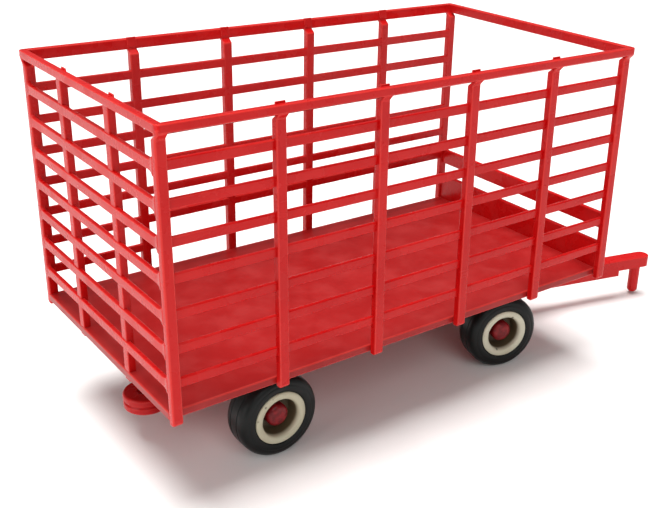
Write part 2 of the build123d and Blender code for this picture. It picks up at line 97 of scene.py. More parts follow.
# ------------------------------------------------------------------ modelling bench
class Bench:
    """Hand tools: every mesh is made with these."""

    @staticmethod
    def focus(obj: bpy.types.Object) -> None:
        """Make one object the only selected and active one."""
        bpy.ops.object.select_all(action="DESELECT")
        obj.select_set(True)
        bpy.context.view_layer.objects.active = obj

    @staticmethod
    def settle(obj: bpy.types.Object) -> None:
        """Put an object's place and turn into its mesh."""
        Bench.focus(obj)
        bpy.ops.object.transform_apply(location=True, rotation=True, scale=True)

    @staticmethod
    @contextmanager
    def editing(obj: bpy.types.Object, kind: Kind = Kind.FACE) -> Iterator[None]:
        """Edit mode with nothing selected, and back.

        Args:
            obj: Object to edit.
            kind: Kind of element to select.
        """
        Bench.focus(obj)
        bpy.ops.object.mode_set(mode="EDIT")
        bpy.ops.mesh.select_mode(type=kind.value)
        bpy.ops.mesh.select_all(action="DESELECT")
        yield
        bpy.ops.object.mode_set(mode="OBJECT")

    @staticmethod
    def pick(obj: bpy.types.Object, kind: Kind, test: Test) -> None:
        """Select the elements that pass a test, in edit mode.

        Args:
            obj: Object in edit mode.
            kind: Kind of element.
            test: Takes an element's centre and its normal or direction.
        """
        bpy.ops.mesh.select_mode(type=kind.value)
        bpy.ops.mesh.select_all(action="DESELECT")
        mesh = bmesh.from_edit_mesh(obj.data)
        if kind is Kind.VERT:
            items = [(v, v.co, v.normal) for v in mesh.verts]
        elif kind is Kind.EDGE:
            items = [(e, (e.verts[0].co + e.verts[1].co) / 2,
                      (e.verts[1].co - e.verts[0].co).normalized()) for e in mesh.edges]
        else:
            items = [(f, f.calc_center_median(), f.normal) for f in mesh.faces]
        for item, centre, direction in items:
            if test(centre, direction):
                item.select_set(True)
        bmesh.update_edit_mesh(obj.data)

    @staticmethod
    def block(name: str, low: Vector, high: Vector) -> bpy.types.Object:
        """Block between two corners."""
        bpy.ops.object.select_all(action="DESELECT")
        bpy.ops.mesh.primitive_cube_add(size=1.0, location=(low + high) / 2)
        obj = bpy.context.object
        obj.name = name
        obj.scale = high - low
        Bench.settle(obj)
        return obj

    @staticmethod
    def extrude(move: Sequence[float]) -> None:
        """Extrude what is selected in edit mode along a move."""
        bpy.ops.mesh.extrude_region_move(TRANSFORM_OT_translate={"value": tuple(move)})

    @staticmethod
    def turned(name: str, profile: Sequence[tuple[float, float]], steps: int = 72,
               loop: bool = True) -> bpy.types.Object:
        """Solid of revolution about Y, its outer face at y = 0 and towards +Y.

        Args:
            name: Name of the object.
            profile: Radius and depth below the outer face, in metres, along the section.
            steps: Flats round the circle.
            loop: True if the section closes on itself, False if both its ends are capped.

        Returns:
            The new object.
        """
        bpy.ops.object.select_all(action="DESELECT")
        radius, depth = profile[0]
        bpy.ops.mesh.primitive_circle_add(
            vertices=steps, radius=radius, fill_type="NOTHING" if loop else "TRIFAN",
            location=(0, -depth, 0), rotation=(math.pi / 2, 0, 0))
        obj = bpy.context.object
        obj.name = name
        Bench.settle(obj)
        with Bench.editing(obj, Kind.EDGE):
            Bench.pick(obj, Kind.EDGE, lambda c, d: c.xz.length > radius * 0.9)
            points = list(profile[1:]) + ([profile[0]] if loop else [])
            for r, a in points:
                Bench.extrude((0, depth - a, 0))
                factor = r / radius
                bpy.ops.transform.resize(value=(factor, 1, factor), center_override=(0, -a, 0))
                radius, depth = r, a
            if not loop:
                bpy.ops.mesh.edge_face_add()
            bpy.ops.mesh.select_all(action="SELECT")
            bpy.ops.mesh.remove_doubles(threshold=1e-7)
            bpy.ops.mesh.normals_make_consistent(inside=False)
        return obj

    @staticmethod
    def union(base: bpy.types.Object, parts: Sequence[bpy.types.Object]) -> bpy.types.Object:
        """Weld rounded parts onto a rounded base, one after the other.

        Args:
            base: piece that the parts are welded onto, returned when it is done.
            parts: pieces that are used up in the weld.
        """
        for part in parts:
            Bench.focus(base)
            cut = base.modifiers.new("weld", "BOOLEAN")
            cut.operation = "UNION"
            cut.solver = "EXACT"
            cut.object = part
            bpy.ops.object.modifier_apply(modifier=cut.name)
            bpy.data.objects.remove(part)
        Bench.clean(base, flatten=False)
        Bench.smooth(base, 40.0)
        Bench.even_normals(base)
        return base

    @staticmethod
    def clean(obj: bpy.types.Object, flatten: bool = True) -> None:
        """Merge doubles.

        Args:
            obj: Object to clean.
            flatten: True to dissolve the seams on flat faces too.
        """
        with Bench.editing(obj):
            bpy.ops.mesh.select_all(action="SELECT")
            bpy.ops.mesh.remove_doubles(threshold=1e-5)
            if flatten:
                bpy.ops.mesh.dissolve_limited(angle_limit=math.radians(0.8))

    @staticmethod
    def join(base: bpy.types.Object, parts: Sequence[bpy.types.Object]) -> bpy.types.Object:
        """Join parts into a base object."""
        Bench.focus(base)
        for part in parts:
            part.select_set(True)
        bpy.ops.object.join()
        return base

    @staticmethod
    def soften(obj: bpy.types.Object, width: float, segments: int = 2,
               angle: float = 40.0) -> bpy.types.Object:
        """Round every sharp edge, outer and inner, and shade smoothly.

        Args:
            obj: Object to finish.
            width: Width of the rounding, in metres.
            segments: Steps across the rounding.
            angle: Smallest angle that is rounded, in degrees.

        Returns:
            The same object.
        """
        Bench.focus(obj)
        bpy.ops.object.shade_smooth()
        bevel = obj.modifiers.new("rounded_edges", "BEVEL")
        bevel.width = width
        bevel.segments = segments
        bevel.limit_method = "ANGLE"
        bevel.angle_limit = math.radians(angle)
        bevel.material = 1
        for _ in range(2):
            obj.data.materials.append(None)
        bpy.ops.object.modifier_apply(modifier=bevel.name)
        Bench.mark_rounding(obj)
        Bench.even_normals(obj)
        return obj

    @staticmethod
    def even_normals(obj: bpy.types.Object) -> None:
        """Shade the flat faces flat and leave the turn to the rounded edges."""
        Bench.focus(obj)
        even = obj.modifiers.new("even_normals", "WEIGHTED_NORMAL")
        even.weight = 80
        even.keep_sharp = True
        bpy.ops.object.modifier_apply(modifier=even.name)

    @staticmethod
    def mark_rounding(obj: bpy.types.Object) -> None:
        """Note which faces are a rounded edge, for the finishes to read, and free the slot."""
        marks = obj.data.attributes.new("rounding", "FLOAT", "FACE")
        marks.data.foreach_set("value", [float(f.material_index == 1) for f in obj.data.polygons])
        obj.data.materials.clear()

    @staticmethod
    def smooth(obj: bpy.types.Object, angle: float = 35.0) -> bpy.types.Object:
        """Shade smoothly below an angle between faces."""
        Bench.focus(obj)
        bpy.ops.object.shade_smooth_by_angle(angle=math.radians(angle))
        return obj

    @staticmethod
    def copy_of_node(node: str, name: str) -> bpy.types.Object:
        """Merged copy of a frame node's mesh, as a new object."""
        obj = bpy.data.objects.new(name, frame["nodes"][node].data.copy())
        obj.data.materials.clear()
        bpy.context.scene.collection.objects.link(obj)
        Bench.clean(obj)
        return obj


# ------------------------------------------------------------------ finishes
class Graph:
    """Small helper that adds and links nodes in one tree."""

    def __init__(self, tree: bpy.types.NodeTree) -> None:
        """Keep the tree."""
        self.tree = tree

    def add(self, kind: str, settings: dict[str, object] | None = None,
            inputs: dict[object, object] | None = None) -> bpy.types.Node:
        """Add a node.

        Args:
            kind: Node type name.
            settings: Properties of the node.
            inputs: Values or source sockets by input name or number.

        Returns:
            The new node.
        """
        node = self.tree.nodes.new(kind)
        for key, value in (settings or {}).items():
            setattr(node, key, value)
        for key, value in (inputs or {}).items():
            if isinstance(value, bpy.types.NodeSocket):
                self.tree.links.new(value, node.inputs[key])
            else:
                node.inputs[key].default_value = value
        return node

    def spread(self, value: bpy.types.NodeSocket, low: float, high: float, to_low: float = 0.0,
               to_high: float = 1.0) -> bpy.types.NodeSocket:
        """Clamped map of a value from one range to another."""
        node = self.add("ShaderNodeMapRange", {"clamp": True, "interpolation_type": "SMOOTHSTEP"},
                        {0: value, 1: low, 2: high, 3: to_low, 4: to_high})
        return node.outputs[0]

    def mix(self, factor: object, first: object, second: object) -> bpy.types.NodeSocket:
        """Mix of two colours."""
        node = self.add("ShaderNodeMix", {"data_type": "RGBA"}, {0: factor, 6: first, 7: second})
        return node.outputs[2]

    def maths(self, operation: str, first: object, second: object) -> bpy.types.NodeSocket:
        """Result of a maths operation."""
        return self.add("ShaderNodeMath", {"operation": operation},
                        {0: first, 1: second}).outputs[0]


def moulding_marks() -> bpy.types.NodeTree:
    """Node group of the marks that moulded toy plastic shows, and of its rounded convex edges,
    where the red finish paints a highlight.

    Returns:
        Group with outputs Mottle, Smudge, Scuff, Edge and Height.
    """
    found = bpy.data.node_groups.get("moulding_marks")
    if found:
        return found
    group = bpy.data.node_groups.new("moulding_marks", "ShaderNodeTree")
    for name in ("Mottle", "Smudge", "Scuff", "Edge", "Height"):
        group.interface.new_socket(name, in_out="OUTPUT", socket_type="NodeSocketFloat")
    graph = Graph(group)
    place = graph.add("ShaderNodeTexCoord").outputs["Object"]
    mottle = graph.add("ShaderNodeTexNoise", None, {"Vector": place, "Scale": 95.0, "Detail": 3.0})
    smudge = graph.add("ShaderNodeTexNoise", None,
                       {"Vector": place, "Scale": 260.0, "Detail": 5.0, "Distortion": 0.2})
    stretch = graph.add("ShaderNodeMapping", None,
                        {"Vector": place, "Rotation": (0.3, 0.2, 0.5), "Scale": (240, 2400, 900)})
    scuff = graph.add("ShaderNodeTexNoise", None,
                      {"Vector": stretch.outputs[0], "Scale": 1.0, "Detail": 4.0})
    fine = graph.add("ShaderNodeTexNoise", None, {"Vector": place, "Scale": 1700.0, "Detail": 4.0})
    waves = graph.add("ShaderNodeTexNoise", None, {"Vector": place, "Scale": 420.0, "Detail": 1.0})
    point = graph.add("ShaderNodeNewGeometry").outputs["Pointiness"]
    rounding = graph.add("ShaderNodeAttribute", {"attribute_name": "rounding"}).outputs["Fac"]
    # Mask of the rounded convex edges; the red finish paints a highlight on it.
    convex = graph.maths("MULTIPLY", rounding, graph.spread(point, 0.5, 0.54))
    height = graph.maths("ADD", graph.maths("MULTIPLY", fine.outputs[0], 0.12),
                         waves.outputs[0])
    out = graph.add("NodeGroupOutput")
    graph.tree.links.new(graph.spread(mottle.outputs[0], 0.35, 0.65), out.inputs["Mottle"])
    graph.tree.links.new(graph.spread(smudge.outputs[0], 0.35, 0.8), out.inputs["Smudge"])
    graph.tree.links.new(graph.spread(scuff.outputs[0], 0.6, 0.78), out.inputs["Scuff"])
    graph.tree.links.new(graph.spread(convex, 0.0, 1.0), out.inputs["Edge"])
    graph.tree.links.new(height, out.inputs["Height"])
    return group


@dataclass(frozen=True)
class Finish:
    """Base of the finishes: makes a material and its shader."""

    name: str

    def start(self) -> tuple[bpy.types.Material, Graph, bpy.types.Node, bpy.types.Node]:
        """Empty material with its shader and the shared marks.

        Returns:
            The material, its graph, its shader and the node of the marks group.
        """
        material = bpy.data.materials.new(self.name)
        material.use_nodes = True
        material.node_tree.nodes.clear()
        graph = Graph(material.node_tree)
        shader = graph.add("ShaderNodeBsdfPrincipled")
        graph.add("ShaderNodeOutputMaterial", None, {0: shader.outputs[0]})
        marks = graph.add("ShaderNodeGroup", {"node_tree": moulding_marks()})
        return material, graph, shader, marks

    def relief(self, graph: Graph, shader: bpy.types.Node, height: object,
               depth: float) -> None:
        """Link a height to the shader's normal.

        Args:
            graph: Graph of the material.
            shader: Shader node.
            height: Socket of the height, 0 to 1.
            depth: Real depth of the relief, in metres.
        """
        bump = graph.add("ShaderNodeBump", None, {"Strength": 1.0, "Distance": depth,
                                                  "Height": height})
        graph.tree.links.new(bump.outputs[0], shader.inputs["Normal"])


@dataclass(frozen=True)
class GlossRed(Finish):
    """Glossy red moulded plastic with a painted highlight along its rounded edges, smudges and
    light scuffs.
    """

    deep: tuple[float, float, float, float] = (0.44, 0.002, 0.0025, 1.0)
    lively: tuple[float, float, float, float] = (0.49, 0.004, 0.004, 1.0)
    # Paler red laid on the rounded convex edges: a painted highlight.
    edge: tuple[float, float, float, float] = (0.66, 0.05, 0.04, 1.0)
    haze: tuple[float, float, float, float] = (0.50, 0.075, 0.07, 1.0)
    haze_share: float = 0.10
    gloss: float = 0.24
    dull: float = 0.42
    edge_highlight_share: float = 0.4
    wave: float = 0.00002

    def make(self) -> bpy.types.Material:
        """Material of this finish."""
        material, graph, shader, marks = self.start()
        colour = graph.mix(marks.outputs["Mottle"], self.deep, self.lively)
        hazy = graph.maths("MULTIPLY", marks.outputs["Smudge"], self.haze_share)
        colour = graph.mix(hazy, colour, self.haze)
        # Paler red on the rounded convex edges: painted highlight.
        painted_edge_highlight = graph.maths("MULTIPLY", marks.outputs["Edge"], self.edge_highlight_share)
        colour = graph.mix(painted_edge_highlight, colour, self.edge)
        graph.tree.links.new(colour, shader.inputs["Base Color"])
        rough = graph.spread(marks.outputs["Smudge"], 0.0, 1.0, self.gloss, self.dull)
        rough = graph.maths("ADD", rough, graph.maths("MULTIPLY", marks.outputs["Scuff"], 0.12))
        graph.tree.links.new(rough, shader.inputs["Roughness"])
        shader.inputs["Specular IOR Level"].default_value = 0.18
        self.relief(graph, shader, marks.outputs["Height"], self.wave)
        return material


@dataclass(frozen=True)
class TyreBlack(Finish):
    """Black vinyl tyre with greyed high spots and faint turning rings."""

    black: tuple[float, float, float, float] = (0.003, 0.0038, 0.0036, 1.0)
    grey: tuple[float, float, float, float] = (0.011, 0.0125, 0.012, 1.0)

    def make(self) -> bpy.types.Material:
        """Material of this finish."""
        material, graph, shader, marks = self.start()
        dust = graph.maths("MAXIMUM", graph.maths("MULTIPLY", marks.outputs["Smudge"], 0.5),
                           marks.outputs["Edge"])
        graph.tree.links.new(graph.mix(dust, self.black, self.grey), shader.inputs["Base Color"])
        rough = graph.spread(marks.outputs["Smudge"], 0.0, 1.0, 0.36, 0.55)
        graph.tree.links.new(rough, shader.inputs["Roughness"])
        shader.inputs["Specular IOR Level"].default_value = 0.2
        self.relief(graph, shader, marks.outputs["Height"], 0.00003)
        return material


@dataclass(frozen=True)
class CreamRim(Finish):
    """Aged cream plastic with small dark specks, and painted shade that darkens its deep well."""

    cream: tuple[float, float, float, float] = (0.44, 0.41, 0.29, 1.0)
    pale: tuple[float, float, float, float] = (0.54, 0.52, 0.40, 1.0)
    # Dark brown that darkens the deep well: painted shade.
    painted_well_shade: tuple[float, float, float, float] = (0.085, 0.060, 0.030, 1.0)
    speck: tuple[float, float, float, float] = (0.10, 0.085, 0.06, 1.0)

    def make(self) -> bpy.types.Material:
        """Material of this finish."""
        material, graph, shader, marks = self.start()
        colour = graph.mix(marks.outputs["Mottle"], self.cream, self.pale)
        place = graph.add("ShaderNodeTexCoord").outputs["Object"]
        dots = graph.add("ShaderNodeTexVoronoi", None, {"Vector": place, "Scale": 900.0})
        chance = graph.add("ShaderNodeSeparateColor", None, {0: dots.outputs["Color"]})
        near = graph.spread(dots.outputs["Distance"], 0.12, 0.26, 1.0, 0.0)
        few = graph.spread(chance.outputs[0], 0.78, 0.80)
        colour = graph.mix(graph.maths("MULTIPLY", near, few), colour, self.speck)
        # The deeper a point lies in the well, the darker it is painted: painted shade, made patchy
        # by the smudge noise.
        well = graph.add("ShaderNodeAttribute", {"attribute_name": "well"}).outputs["Fac"]
        uneven = graph.maths("MULTIPLY", marks.outputs["Smudge"], 0.25)
        depth = graph.spread(graph.maths("ADD", well, uneven), 0.15, 0.85)
        colour = graph.mix(depth, colour, self.painted_well_shade)
        graph.tree.links.new(colour, shader.inputs["Base Color"])
        rough = graph.spread(marks.outputs["Smudge"], 0.0, 1.0, 0.38, 0.55)
        graph.tree.links.new(rough, shader.inputs["Roughness"])
        self.relief(graph, shader, marks.outputs["Height"], 0.00003)
        return material


@dataclass(frozen=True)
class HubRed(Finish):
    """Dark red hub disc with a lumpy, melted surface."""

    dark: tuple[float, float, float, float] = (0.12, 0.003, 0.005, 1.0)
    light: tuple[float, float, float, float] = (0.23, 0.006, 0.009, 1.0)

    def make(self) -> bpy.types.Material:
        """Material of this finish."""
        material, graph, shader, marks = self.start()
        place = graph.add("ShaderNodeTexCoord").outputs["Object"]
        lumps = graph.add("ShaderNodeTexNoise", None,
                          {"Vector": place, "Scale": 1100.0, "Detail": 2.0}).outputs[0]
        colour = graph.mix(graph.spread(lumps, 0.35, 0.65), self.dark, self.light)
        graph.tree.links.new(colour, shader.inputs["Base Color"])
        rough = graph.spread(marks.outputs["Smudge"], 0.0, 1.0, 0.32, 0.5)
        graph.tree.links.new(rough, shader.inputs["Roughness"])
        shader.inputs["Specular IOR Level"].default_value = 0.25
        self.relief(graph, shader, lumps, 0.00016)
        return material


@dataclass(frozen=True)
class DrawnSteel(Finish):
    """Drawn steel rod with fine lines and dull spots."""

    steel: tuple[float, float, float, float] = (0.50, 0.50, 0.52, 1.0)
    dull: tuple[float, float, float, float] = (0.24, 0.23, 0.23, 1.0)

    def make(self) -> bpy.types.Material:
        """Material of this finish."""
        material, graph, shader, marks = self.start()
        colour = graph.mix(marks.outputs["Smudge"], self.steel, self.dull)
        graph.tree.links.new(colour, shader.inputs["Base Color"])
        shader.inputs["Metallic"].default_value = 1.0
        rough = graph.spread(marks.outputs["Scuff"], 0.0, 1.0, 0.28, 0.5)
        graph.tree.links.new(rough, shader.inputs["Roughness"])
        self.relief(graph, shader, marks.outputs["Scuff"], 0.00001)
        return material


@dataclass(frozen=True)
class StudioFloor(Finish):
    """Plain pale floor with a barely uneven tone."""

    tone: tuple[float, float, float, float] = (0.86, 0.845, 0.83, 1.0)
    warm: tuple[float, float, float, float] = (0.82, 0.80, 0.785, 1.0)

    def make(self) -> bpy.types.Material:
        """Material of this finish."""
        material, graph, shader, _ = self.start()
        place = graph.add("ShaderNodeTexCoord").outputs["Object"]
        cloud = graph.add("ShaderNodeTexNoise", None, {"Vector": place, "Scale": 6.0})
        graph.tree.links.new(graph.mix(cloud.outputs[0], self.tone, self.warm),
                             shader.inputs["Base Color"])
        shader.inputs["Roughness"].default_value = 0.7
        return material


class Finishes:
    """Every material of the wagon, made once."""

    def __init__(self) -> None:
        """Make the materials."""
        self.body = GlossRed("gloss_red_body").make()
        # The deck's red is darker than the body red: painted shade that offsets the strong
        # overhead light on its upward face. Its stronger haze and rougher gloss are the plastic's
        # own.
        self.floor = GlossRed("gloss_red_deck_painted_shade", deep=(0.265, 0.007, 0.007, 1.0),
                              lively=(0.30, 0.010, 0.010, 1.0), haze_share=0.16, gloss=0.32,
                              dull=0.42, wave=0.00003).make()
        self.under = GlossRed("gloss_red_underframe", deep=(0.40, 0.003, 0.004, 1.0),
                              lively=(0.46, 0.005, 0.006, 1.0), edge_highlight_share=0.3).make()
        self.tyre = TyreBlack("tyre_black").make()
        self.rim = CreamRim("cream_rim").make()
        self.hub = HubRed("hub_dark_red").make()
        self.steel = DrawnSteel("drawn_steel").make()


def dress(obj: bpy.types.Object, material: bpy.types.Material, body: str,
          nodes: Sequence[str]) -> bpy.types.Object:
    """Give a finished piece its material, body and the nodes that it stands for.

    Args:
        obj: Finished piece.
        material: Its material.
        body: Body that it rides on.
        nodes: Frame nodes that it replaces.

    Returns:
        The same object.
    """
    obj.data.materials.clear()
    obj.data.materials.append(material)
    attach(obj, body)
    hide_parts(*nodes)
    LOG.info("%s: %d faces on %s", obj.name, len(obj.data.polygons), body)
    return obj


# ------------------------------------------------------------------ racks
@dataclass
class RackSizes:
    """Section sizes that all the racks share, in metres."""

    stake_width: float = 1.35 * MM
    stake_depth: float = 1.1 * MM
    slat_height: float = 1.24 * MM
    slat_thickness: float = 0.6 * MM
    rail_height: float = 1.05 * MM
    rail_thickness: float = 0.95 * MM
    rail_lean: float = 0.65 * MM
    head_thickness: float = 0.12 * MM
    head_proud: float = 0.22 * MM
    slats: int = 7
    edge: float = 0.15 * MM
    bite: float = 0.3 * MM
    lean_low: float = 0.4 * MM
    lean_high: float = 1.25 * MM
    lean_rail: float = 0.95 * MM
    lean_fade: float = 0.35
    rail_skirt: float = 0.4 * MM
    inset: float = 0.03 * MM

    def __post_init__(self) -> None:
        """Read the places that come from the frame."""
        deck_low, deck_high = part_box("deck_floor")
        left_low, left_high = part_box("left_side_rack")
        rear_low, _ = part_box("rear_gate_rack")
        rail_low, rail_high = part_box("front_header_rail")
        self.deck_under = deck_low.z
        self.deck_top = deck_high.z
        self.deck_edge = left_low.y
        self.rail_top = rail_high.z
        self.rail_bottom = rail_low.z
        self.rear = rear_low.x
        self.front = left_high.x

    def warp(self, obj: bpy.types.Object) -> None:
        """Lean the left end of a piece inwards, as the real moulding has warped.

        Args:
            obj: Piece in the row frame.
        """
        rise = self.rail_bottom - self.deck_top
        for vertex in obj.data.vertices:
            share = max(0.0, min(1.0, (vertex.co.y / self.deck_edge + 1) / 2))
            up = max(0.0, min(1.0, (vertex.co.z - self.deck_top) / rise))
            high = self.lean_rail if vertex.co.z > self.rail_bottom + 0.1 * MM else self.lean_high
            ahead = (vertex.co.x - self.rear) / (self.front - self.rear)
            fade = 1.0 - self.lean_fade * max(0.0, min(1.0, ahead))
            vertex.co.y -= share * fade * (self.lean_low + (high - self.lean_low) * up)

    def slat_bottoms(self) -> list[float]:
        """Lower edge of each slat, evenly spaced between the deck and the rail."""
        free = self.rail_bottom - self.deck_top - self.slats * self.slat_height
        gap = free / (self.slats + 1)
        return [self.deck_top + gap + i * (self.slat_height + gap) for i in range(self.slats)]


@dataclass
class SideRack:
    """Slatted side with six stakes that lean out at their heads to carry the rail."""

    sizes: RackSizes
    stakes: int = 6
    front_rail_proud: float = 0.25 * MM
    corner_drop: float = 0.5 * MM
    foot_drop: float = 0.25 * MM
    toe: float = 0.3 * MM
    corner_edge: float = 0.2 * MM
    head_edge: float = 0.05 * MM
    rail_corner: float = 0.6 * MM
    slope: float = 0.9 * MM

    def stake(self, x: float, foot: float) -> bpy.types.Object:
        """One stake of the left side, leaning out below the rail.

        Args:
            x: Rear face of the stake.
            foot: Height of its lower end.

        Returns:
            The stake.
        """
        s = self.sizes
        y0, y1 = s.deck_edge, s.deck_edge + s.stake_depth
        bend = s.rail_bottom - self.slope
        stake = Bench.block("stake", Vector((x, y0, foot)), Vector((x + s.stake_width, y1, bend)))
        with Bench.editing(stake):
            Bench.pick(stake, Kind.FACE, lambda c, n: n.z > 0.9)
            Bench.extrude((0, s.rail_lean - s.inset, s.rail_lean))
            Bench.extrude((0, 0, self.slope - s.rail_lean + s.rail_height * 0.5))
            later = self.slope - s.rail_lean
            Bench.pick(stake, Kind.VERT, lambda c, n: c.y > y1 - TINY and c.z > bend - TINY
                       and c.z < s.rail_bottom - TINY)
            bpy.ops.transform.translate(value=(0, 0, later))
            Bench.pick(stake, Kind.VERT, lambda c, n: c.y < y0 + s.rail_lean + TINY
                       and c.z > bend + TINY)
            bpy.ops.transform.translate(value=(0, self.back - y0 - s.rail_lean + 2 * s.inset, 0))
            Bench.pick(stake, Kind.EDGE, lambda c, d: abs(d.x) > 0.9 and c.z < foot + TINY
                       and c.y > y1 - TINY)
            bpy.ops.mesh.bevel(offset=self.toe, segments=1, affect="EDGES")
        return stake

    @property
    def back(self) -> float:
        """Inner face of the left rail."""
        s = self.sizes
        return s.deck_edge + s.stake_depth + s.rail_lean - s.rail_thickness

    def head(self, x: float) -> bpy.types.Object:
        """Head of a stake, standing behind the rail and a little above it."""
        s = self.sizes
        low = Vector((x, self.back - s.head_thickness, s.rail_bottom))
        high = Vector((x + s.stake_width, self.back + 0.1 * MM, s.rail_top + s.head_proud))
        return Bench.block("head", low, high)

    def rail(self) -> bpy.types.Object:
        """Top rail with rounded outer corners."""
        s = self.sizes
        outer = s.deck_edge + s.stake_depth + s.rail_lean
        rail = Bench.block("rail", Vector((s.rear, outer - s.rail_thickness, s.rail_bottom)),
                           Vector((s.front, outer, s.rail_top)))
        with Bench.editing(rail):
            Bench.pick(rail, Kind.EDGE, lambda c, d: abs(d.z) > 0.99 and c.y > outer - 0.01 * MM)
            bpy.ops.mesh.bevel(offset=self.rail_corner, segments=4, affect="EDGES")
            Bench.pick(rail, Kind.VERT, lambda c, n: c.z < s.rail_bottom + TINY
                       and c.y < self.back + TINY)
            bpy.ops.transform.translate(value=(0, 0, -s.rail_skirt))
        return rail

    def build(self, finish: bpy.types.Material) -> None:
        """Model the left rack, mirror it, and round both.

        Args:
            finish: material of the rack.
        """
        s = self.sizes
        first, last = s.rear + s.inset, s.front - self.front_rail_proud - s.stake_width
        pitch = (last - first) / (self.stakes - 1)
        parts, heads = [], []
        for i in range(self.stakes):
            x = first + i * pitch
            drop = self.corner_drop if i in (0, self.stakes - 1) else self.foot_drop
            edge = self.corner_edge if i in (0, self.stakes - 1) else s.edge
            parts.append(Bench.soften(self.stake(x, s.deck_under - drop), edge))
            if i not in (0, self.stakes - 1):
                heads.append(self.head(x))
        for z in s.slat_bottoms():
            low = Vector((first + s.stake_width / 2, s.deck_edge + s.inset, z))
            high = Vector((last + s.stake_width / 2, s.deck_edge + s.slat_thickness,
                           z + s.slat_height))
            parts.append(Bench.soften(Bench.block("slat", low, high), s.edge))
        left = Bench.union(Bench.soften(self.rail(), s.edge), parts)
        left.name = "left_rack"
        Bench.join(left, [Bench.soften(head, self.head_edge) for head in heads])
        right = self.mirrored(left, "right_rack")
        s.warp(left)
        for side, rack in ((Side.LEFT, left), (Side.RIGHT, right)):
            dress(rack, finish, "wagon", [f"{side.name.lower()}_side_rack"])

    def mirrored(self, source: bpy.types.Object, name: str) -> bpy.types.Object:
        """Copy of a left piece for the right side.

        Args:
            source: piece on the left side.
            name: name of the copy.
        """
        copy = bpy.data.objects.new(name, source.data.copy())
        bpy.context.scene.collection.objects.link(copy)
        copy.scale = (1, -1, 1)
        Bench.settle(copy)
        with Bench.editing(copy):
            bpy.ops.mesh.select_all(action="SELECT")
            bpy.ops.mesh.normals_make_consistent(inside=False)
        Bench.smooth(copy, 40.0)
        Bench.even_normals(copy)
        return copy


